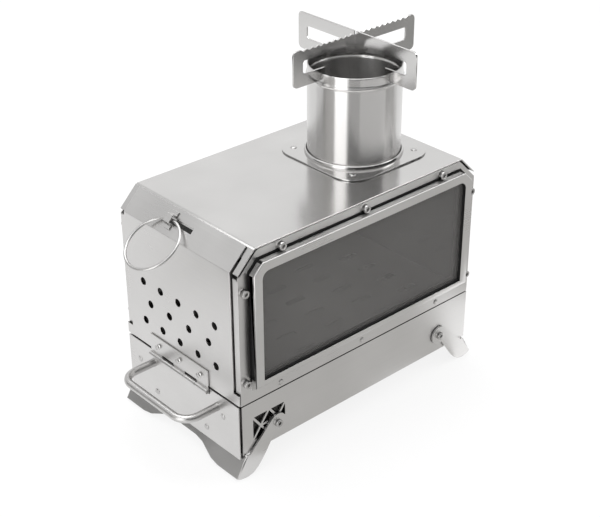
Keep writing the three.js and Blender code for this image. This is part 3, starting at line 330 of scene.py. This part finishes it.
# Pull ring: a closed circle of wire, with its butt weld a little thicker
pull = {"wire": 1.15, "weldAngle": 170, "weldSwell": 0.12, "weldSpread": 3, "steps": 128, "columns": 20}
low, high = nodeBox("pull_ring")
ringCentre, spread = (low + high) / 2, high - low
wireRadius = pull["wire"]
ringRadius = spread[1] / 2 - wireRadius
tilt = math.atan2(spread[0] - 2 * wireRadius, spread[2] - 2 * wireRadius)
angle = np.linspace(0, 2 * math.pi, pull["steps"], endpoint=False)
downhill = np.array([-math.sin(tilt), 0, -math.cos(tilt)])
across = np.array([0.0, 1.0, 0.0])
path = ringCentre + ringRadius * (np.cos(angle)[:, None] * downhill + np.sin(angle)[:, None] * across)
swell = np.exp(-(np.degrees(angle) - pull["weldAngle"]) ** 2 / (2 * pull["weldSpread"] ** 2))
thick = wireRadius * (1 + pull["weldSwell"] * swell)
wire = wireAlong(path, thick, pull["columns"], np.cross(downhill, across), closed=True)
fitted(surface("pullRing", wire, closedRows=True), drawnWire, ["pull_ring"])

# Drawer handle: a rod bent twice, its ends standing on the drawer's front
handle = {"bend": 13.0, "bendSteps": 14, "straightSteps": 12, "columns": 28,
          "footFlare": 0.25, "flareReach": 0.7}
rodLow, rodHigh = nodeBox("drawer_handle")
frontLow, frontHigh = nodeBox("drawer_front")
rodRadius = (rodHigh[2] - rodLow[2]) / 2
rodZ = (rodHigh[2] + rodLow[2]) / 2
sideA, sideB = rodLow[1] + rodRadius, rodHigh[1] - rodRadius
railX = rodLow[0] + rodRadius
quarter = np.linspace(0, math.pi / 2, handle["bendSteps"])[:, None]
bend = handle["bend"]
straight = np.linspace(0, 1, handle["straightSteps"])[:, None]
legA = np.array([frontLow[0], sideA]) + straight * np.array([railX + bend - frontLow[0], 0])
cornerA = np.array([railX + bend, sideA + bend]) - bend * np.hstack([np.sin(quarter), np.cos(quarter)])
rail = np.array([railX, sideA + bend]) + straight * np.array([0, sideB - sideA - 2 * bend])
cornerB = np.array([railX + bend, sideB - bend]) + bend * np.hstack([-np.cos(quarter), np.sin(quarter)])
legB = np.array([railX + bend, sideB]) + straight * np.array([frontLow[0] - railX - bend, 0])
flatPath = np.concatenate([legA[:-1], cornerA[:-1], rail[:-1], cornerB[:-1], legB])
path = np.hstack([flatPath, np.full((len(flatPath), 1), rodZ)])
foot = np.exp(-np.abs(flatPath[:, 0] - frontLow[0]) / handle["flareReach"])
rod = wireAlong(path, rodRadius + handle["footFlare"] * foot, handle["columns"], np.array([0, 0, 1.0]))
fitted(surface("drawerHandle", rod, filledEnds=True), drawnWire, ["drawer_handle"])
print("collar, ring and handle ready")

# Socket cap screws: a straight head with an eased rim, and a hexagon socket sunk into it
screw = {"head": 3.2, "headEase": 0.4, "footEase": 0.15, "shank": 1.9, "headGap": 0.05, "columns": 48,
         "socket": 1.55, "socketFlat": 0.92, "socketDepth": 1.7, "drillPoint": 0.3,
         "mouthWidth": 0.15, "mouthDepth": 0.2}


# The radius of each row is the profile's, and in the socket it follows a hexagon: the flats'
# distance over the cosine of the angle from the nearest flat
def capScrewGrid(headHeight, length):
    head, ease, socket = screw["head"], screw["headEase"], screw["socket"]
    socketFloor = headHeight - screw["socketDepth"]
    bulge = ease * 0.3  # the rim's middle row lies outside the straight chamfer
    outside = [[screw["shank"], -length], [screw["shank"], 0], [head - screw["footEase"], 0],
               [head, screw["footEase"]], [head, headHeight - ease],
               [head - bulge, headHeight - bulge], [head - ease, headHeight]]
    inside = [[socket + screw["mouthWidth"], headHeight], [socket, headHeight - screw["mouthDepth"]],
              [socket, socketFloor], [0.01, socketFloor - screw["drillPoint"]]]
    angle = np.linspace(0, 2 * math.pi, screw["columns"], endpoint=False)
    flat = (angle + math.pi / 6) % (math.pi / 3) - math.pi / 6
    hexagon = screw["socketFlat"] / np.cos(flat)
    inSocket = np.array([0] * len(outside) + [1] * len(inside))[:, None]
    return turnedGrid(outside + inside, screw["columns"], 1 + inSocket * (hexagon - 1))


panelY = wrapHigh.y / mm + screw["headGap"]  # where the heads seat on the side panels
legY = nodeBox("left_leg")[1][1] + screw["headGap"]  # and on the legs
for node in [name for name in bodyOf if "panel_screw" in name or "leg_screw" in name]:
    low, high = nodeBox(node)
    side = 1 if low[1] + high[1] > 0 else -1
    seatY = legY if "leg" in node else panelY
    headTop = max(abs(low[1]), abs(high[1]))
    length = seatY - min(abs(low[1]), abs(high[1]))
    grid = capScrewGrid(headTop - seatY, length)
    middle = (low + high) / 2
    points = aimed(grid, (0, side, 0), (middle[0], side * seatY, middle[2]))
    fitted(surface(node + "Piece", points, filledEnds=True, sharpAngle=50), boltSteel, [node])

# Rivets: a flat dome, circle-like in section, with a fine crease where it meets the sheet
rivet = {"head": 2.6, "dome": 0.9, "shank": 1.5, "columns": 32, "solidHead": 1.27, "shankCut": 1.3}


def rivetGrid(radius, dome, length):
    share = np.linspace(1, 0.004, 12)
    cap = np.stack([radius * share, dome * np.sqrt(1 - share ** 2 * 0.999)], axis=1)
    shank = [[rivet["shank"], -length], [rivet["shank"], 0.02], [radius, 0.0]]
    return turnedGrid(np.concatenate([shank, cap]), rivet["columns"])


rivetKinds = {"collar_rivet": {"direction": (0, 0, 1), "axis": 2, "sign": 1},
              "drawer_rivet": {"direction": (-1, 0, 0), "axis": 0, "sign": -1}}
for stem, kind in rivetKinds.items():
    for node in [name for name in bodyOf if name.startswith(stem)]:
        low, high = nodeBox(node)
        middle = (low + high) / 2
        top = max(low[kind["axis"]] * kind["sign"], high[kind["axis"]] * kind["sign"])
        place = middle.copy()
        place[kind["axis"]] = kind["sign"] * (top - rivet["solidHead"])
        length = abs(high[kind["axis"]] - low[kind["axis"]]) - rivet["shankCut"]
        points = aimed(rivetGrid(rivet["head"], rivet["dome"], length), kind["direction"], place)
        fitted(surface(node + "Piece", points, filledEnds=True, sharpAngle=50), boltSteel, [node])

# Heads of the rivets that the solids leave out: along the side panels' lower edge and on the hinge leaf
sillRivet = {"head": 2.2, "dome": 0.7, "shank": 0.4, "x": (-86, 0, 86), "z": 5.5}
leafRivet = {"head": 2.0, "dome": 0.6, "shank": 0.4, "spacing": 26, "z": 8, "leafDepth": 0.6}
for side, end in ((-1, "Front"), (1, "Back")):
    for number, x in enumerate(sillRivet["x"]):
        grid = rivetGrid(sillRivet["head"], sillRivet["dome"], sillRivet["shank"])
        points = aimed(grid, (0, side, 0), (x, side * panelY, sillRivet["z"]))
        head = surface(f"sillRivet{end}{number + 1}", points, filledEnds=True)
        fitted(head, boltSteel, [], "firebox")
leafLow, leafHigh = nodeBox("door_hinge_leaf")
for number in (-1, 0, 1):
    grid = rivetGrid(leafRivet["head"], leafRivet["dome"], leafRivet["shank"])
    y = (leafLow[1] + leafHigh[1]) / 2 + number * leafRivet["spacing"]
    points = aimed(grid, (-1, 0, 0), (leafLow[0] + leafRivet["leafDepth"], y, leafRivet["z"]))
    head = surface(f"leafRivet{number + 2}", points, filledEnds=True)
    fitted(head, boltSteel, [], "door")
print("screws and rivets ready")


# A copy of a CAD solid with its edges eased: small bevels on cut edges, wide ones outside folds. An
# edge counts as a fold if its faces turn by 35 to 62 degrees, or if the look's test holds at both ends.
turns = {"merged": 0.6, "foldFrom": 35, "foldTo": 62, "cutFrom": 60}  # degrees
widest = 8  # a bevel weight of 1 is this many times as wide as the bevel of a cut edge
fireMiddle = Vector(toRow((0, 0, 60)))
fireNodes = ("body_shell", "front_side_panel", "back_side_panel", "door_panel", "base_shell", "door_sill")


def dressed(node, look):
    mesh = frame["nodes"][node].data.copy()
    mesh.name = node + "Shape"
    work = bmesh.new()
    work.from_mesh(mesh)
    bmesh.ops.remove_doubles(work, verts=work.verts, dist=1e-6)
    bmesh.ops.dissolve_limit(work, angle_limit=math.radians(turns["merged"]), verts=work.verts,
                             edges=work.edges)
    layer = work.edges.layers.float.new("bevel_weight_edge")
    inward = work.faces.layers.float.new("inward")
    # inward marks the faces inside the firebox, which get painted shade
    for face in work.faces:
        outward = face.normal.dot(face.calc_center_median() - fireMiddle)
        face[inward] = float(node in fireNodes and outward < 0)
    for edge in work.edges:
        if len(edge.link_faces) != 2:
            continue
        turn = math.degrees(edge.calc_face_angle(0))
        edge.smooth = turn < turns["foldFrom"]
        folded = "foldAt" in look and all(look["foldAt"](*toStove(vertex.co)) for vertex in edge.verts)
        bent = turns["foldFrom"] <= turn <= turns["foldTo"] or (turn > turns["foldTo"] and folded)
        if "fold" in look and edge.is_convex and bent:
            edge[layer] = look["fold"] / look["edge"] / widest
        elif turn > turns["cutFrom"] and not look.get("onlyFolds"):
            edge[layer] = 1 / widest
    work.to_mesh(mesh)
    work.free()
    mesh.shade_smooth()
    piece = bpy.data.objects.new(node + "Piece", mesh)
    scene.collection.objects.link(piece)
    bevel = piece.modifiers.new("easedEdges", "BEVEL")
    bevel.limit_method = "WEIGHT"
    bevel.width = look["edge"] * mm * widest
    bevel.use_clamp_overlap = "fold" not in look  # the clamp would narrow every fold of a solid
    bevel.segments = 3
    bevel.harden_normals = True
    return piece


finishOf = {"sheet_steel": brushedAlongX, "inner_steel": innerSheet, "turned_steel": rolledTube,
            "fastener_steel": boltSteel, "window_glass": glassPane, "window_seal": blackSeal}
plainEdges = {"edge": 0.3}
windowEdges = {"edge": 0.3, "fold": 1.2,  # folds round the outside of the window frame
               "foldAt": lambda x, y, z: abs(y) > 77.5 and (abs(x) > 114 or z > 119)}
ownEdges = {
    "body_shell": {"edge": 0.4, "fold": 2.0},
    "door_panel": {"edge": 0.3, "fold": 2.4},
    "front_side_panel": windowEdges, "back_side_panel": windowEdges,
    "left_leg": {"edge": 0.25, "fold": 1.0, "onlyFolds": True,
                 "foldAt": lambda x, y, z: abs(y) > 72.5 and x < -122 and z < -45},
    "right_leg": {"edge": 0.25, "fold": 1.0, "onlyFolds": True,
                  "foldAt": lambda x, y, z: abs(y) > 72.5 and x > 122 and z < -45},
}
ownFinish = {"body_shell": polishedSheet, "door_panel": brushedAlongY, "drawer_front": brushedAlongY,
             "door_hinge_leaf": brushedAlongY, "collar_plate": polishedSheet, "door_hinge_pin": boltSteel,
             "ring_bridge": brushedAlongY, "stand_lower_plate": cutPlate,
             "stand_upper_plate": cutPlate, "back_window_glass": shadePaintedPane}
for body, nodes in bodies.items():
    for node in nodes:
        if node in madeAnew:
            continue
        slot = slotOf[node]
        if slot in ("window_glass", "window_seal"):
            solid = frame["nodes"][node]
            solid.data.materials.clear()
            solid.data.materials.append(ownFinish.get(node, finishOf[slot]))
        else:
            fitted(dressed(node, ownEdges.get(node, plainEdges)), ownFinish.get(node, finishOf[slot]), [node])
print("sheets dressed")

# Soft studio: white paper under and behind, even light all round, and cards that the steel reflects
studio = {
    "floorSize": 8.0, "floorShade": "#f4f4f4", "floorGlow": 0.8,
    "worldShade": "#ffffff", "worldLight": 0.75,
}
floorMesh = bpy.data.meshes.new("floorShape")
half = studio["floorSize"] / 2
floorMesh.from_pydata([(-half, -half, 0), (half, -half, 0), (half, half, 0), (-half, half, 0)], [],
                      [(0, 1, 2, 3)])
floor = bpy.data.objects.new("floor", floorMesh)
scene.collection.objects.link(floor)
paper, tree, output = newMaterial("paper backdrop, matt white")
rays = addNode(tree, "ShaderNodeLightPath")
seen = addNode(tree, "ShaderNodeMath", {"operation": "MAXIMUM"},
               {0: rays.outputs["Is Camera Ray"], 1: rays.outputs["Is Glossy Ray"]})
seenAll = addNode(tree, "ShaderNodeMath", {"operation": "MAXIMUM"},
                  {0: seen.outputs[0], 1: rays.outputs["Is Transmission Ray"]})
glowShare = addNode(tree, "ShaderNodeMath", {"operation": "MULTIPLY", 1: studio["floorGlow"]},
                    {0: seenAll.outputs[0]})
matt = addNode(tree, "ShaderNodeBsdfDiffuse", {"Color": linear(studio["floorShade"])})
glow = addNode(tree, "ShaderNodeEmission", {"Color": linear("#ffffff"), "Strength": 1.0})
both = addNode(tree, "ShaderNodeMixShader", {},
               {0: glowShare.outputs[0], 1: matt.outputs[0], 2: glow.outputs[0]})
tree.links.new(both.outputs[0], output.inputs["Surface"])
floorMesh.materials.append(paper)

world = bpy.data.worlds.new("studio")
scene.world = world
world.use_nodes = True
tree = world.node_tree
tree.nodes.clear()
background = addNode(tree, "ShaderNodeBackground", {"Color": linear(studio["worldShade"]),
                                                   "Strength": studio["worldLight"]})
tree.links.new(background.outputs[0], addNode(tree, "ShaderNodeOutputWorld").inputs["Surface"])

# Cards stand round the collar by compass angle (from +X, turning to +Y) and lie on the floor: walls
# are low edge, high edge and distance, floors the near and far edge, all in metres. They show only in
# the steel, as a photographer's cards outside the picture do.
cardColumns = 24
cardLift = 0.0006  # above the floor
cards = {
    "stripSoftbox": {"shade": "#ffffff", "strength": 2.3, "angles": (180, 208.3), "walls": (0.0, 1.3, 1.1),
                     "floors": (0.4, 1.1)},
    "greyCardLeft": {"shade": "#c6c5c3", "strength": 1.0, "angles": (148, 179.5), "walls": (0.0, 1.1, 1.1),
                     "floors": (0.395, 1.1)},
    "darkFlagCamera": {"shade": "#2c2c2b", "strength": 1.0, "angles": (212, 336), "walls": (0.12, 0.95, 1.2),
                       "floors": None},
    "greyCardRing": {"shade": "#d0cfcd", "strength": 1.0, "angles": (209.5, 345), "walls": None,
                     "floors": (0.2, 0.66)},
    "greyCardFoot": {"shade": "#d0cfcd", "strength": 1.0, "angles": (209.5, 308), "walls": None,
                     "floors": (0.09, 0.2)},
    "lightCardRight": {"shade": "#ffffff", "strength": 1.3, "angles": (308, 345), "walls": None,
                       "floors": (0.06, 0.2)},
    "greyCardRight": {"shade": "#a2a2a0", "strength": 1.0, "angles": (313, 330), "walls": None,
                      "floors": (0.68, 1.1)},
    "darkCardRight": {"shade": "#2c2c2b", "strength": 1.0, "angles": (302, 313), "walls": None,
                      "floors": (0.68, 1.0)},
    "darkCardHorizon": {"shade": "#3a3a39", "strength": 1.0, "angles": (128, 156), "walls": (0.0, 0.36, 1.05),
                        "floors": None},
    "darkCardCamera": {"shade": "#1c1c1b", "strength": 1.0, "angles": (213, 238), "walls": None,
                       "floors": (0.72, 1.0)},
    "skyCardBack": {"shade": "#ffffff", "strength": 1.0, "angles": (10, 75), "walls": (0.1, 1.3, 1.5),
                    "floors": None},
}
for name, card in cards.items():
    around = np.radians(np.linspace(*card["angles"], cardColumns))
    rows = []
    if card["floors"]:
        rows += [(reach, cardLift) for reach in card["floors"]]
    if card["walls"]:
        rows += [(card["walls"][2], height) for height in card["walls"][:2]]
    board = np.array([[(reach * math.cos(a), reach * math.sin(a), height) for a in around]
                      for reach, height in rows]).reshape(-1, 3)
    board[:, 0] += toRow(collarMiddle)[0]
    number = np.arange(len(rows) * cardColumns).reshape(-1, 2, cardColumns)  # pairs of edges
    near, far = number[:, 0], number[:, 1]
    faces = np.stack([near[:, :-1], near[:, 1:], far[:, 1:], far[:, :-1]], axis=-1).reshape(-1, 4)
    mesh = bpy.data.meshes.new(name + "Shape")
    mesh.from_pydata(board.tolist(), [], faces.tolist())
    holder = bpy.data.objects.new(name, mesh)
    scene.collection.objects.link(holder)
    shade, tree, output = newMaterial(name + " paper")
    light = addNode(tree, "ShaderNodeEmission", {"Color": linear(card["shade"]),
                                                 "Strength": card["strength"]})
    tree.links.new(light.outputs[0], output.inputs["Surface"])
    mesh.materials.append(shade)
    for kind in ("camera", "diffuse", "transmission", "volume_scatter", "shadow"):
        setattr(holder, "visible_" + kind, False)

softboxes = {
    "overheadSoftbox": {"place": (0.1, 0.3, 1.6), "aim": (0, 0, 0.15), "size": 1.4, "power": 16},
    "leftSoftbox": {"place": (-1.6, 0.2, 0.9), "aim": (0, 0, 0.12), "size": 1.0, "power": 8},
    "rightSoftbox": {"place": (1.15, -0.75, 1.2), "aim": (0, 0, 0.12), "size": 0.7, "power": 5},
}
for name, box in softboxes.items():
    lamp = bpy.data.lights.new(name, "AREA")
    lamp.size = box["size"]
    lamp.energy = box["power"]
    holder = bpy.data.objects.new(name, lamp)
    holder.location = box["place"]
    holder.rotation_euler = (Vector(box["aim"]) - Vector(box["place"])).to_track_quat("-Z", "Y").to_euler()
    scene.collection.objects.link(holder)

view = {"azimuth": -41.85, "elevation": 29.69, "roll": -0.28, "place": (-614.6, -683.5, 574.6),
        "lens": 77.83}
turn, rise, roll = (math.radians(view[key]) for key in ("azimuth", "elevation", "roll"))
right = np.array([math.cos(turn), math.sin(turn), 0])
back = np.array([math.sin(turn) * math.cos(rise), -math.cos(turn) * math.cos(rise), math.sin(rise)])
up = np.cross(back, right)
across = math.cos(roll) * right + math.sin(roll) * up
upright = -math.sin(roll) * right + math.cos(roll) * up
cameraData = bpy.data.cameras.new("photoCamera")
cameraData.lens = view["lens"]
cameraData.sensor_width = 36
cameraData.clip_start = 0.01
camera = bpy.data.objects.new("photoCamera", cameraData)
turned = Matrix([across, upright, back]).transposed().to_4x4()
camera.matrix_world = Matrix.Translation(toRow(view["place"])) @ turned
scene.collection.objects.link(camera)
scene.camera = camera
scene.view_settings.view_transform = "Standard"
print("studio ready")
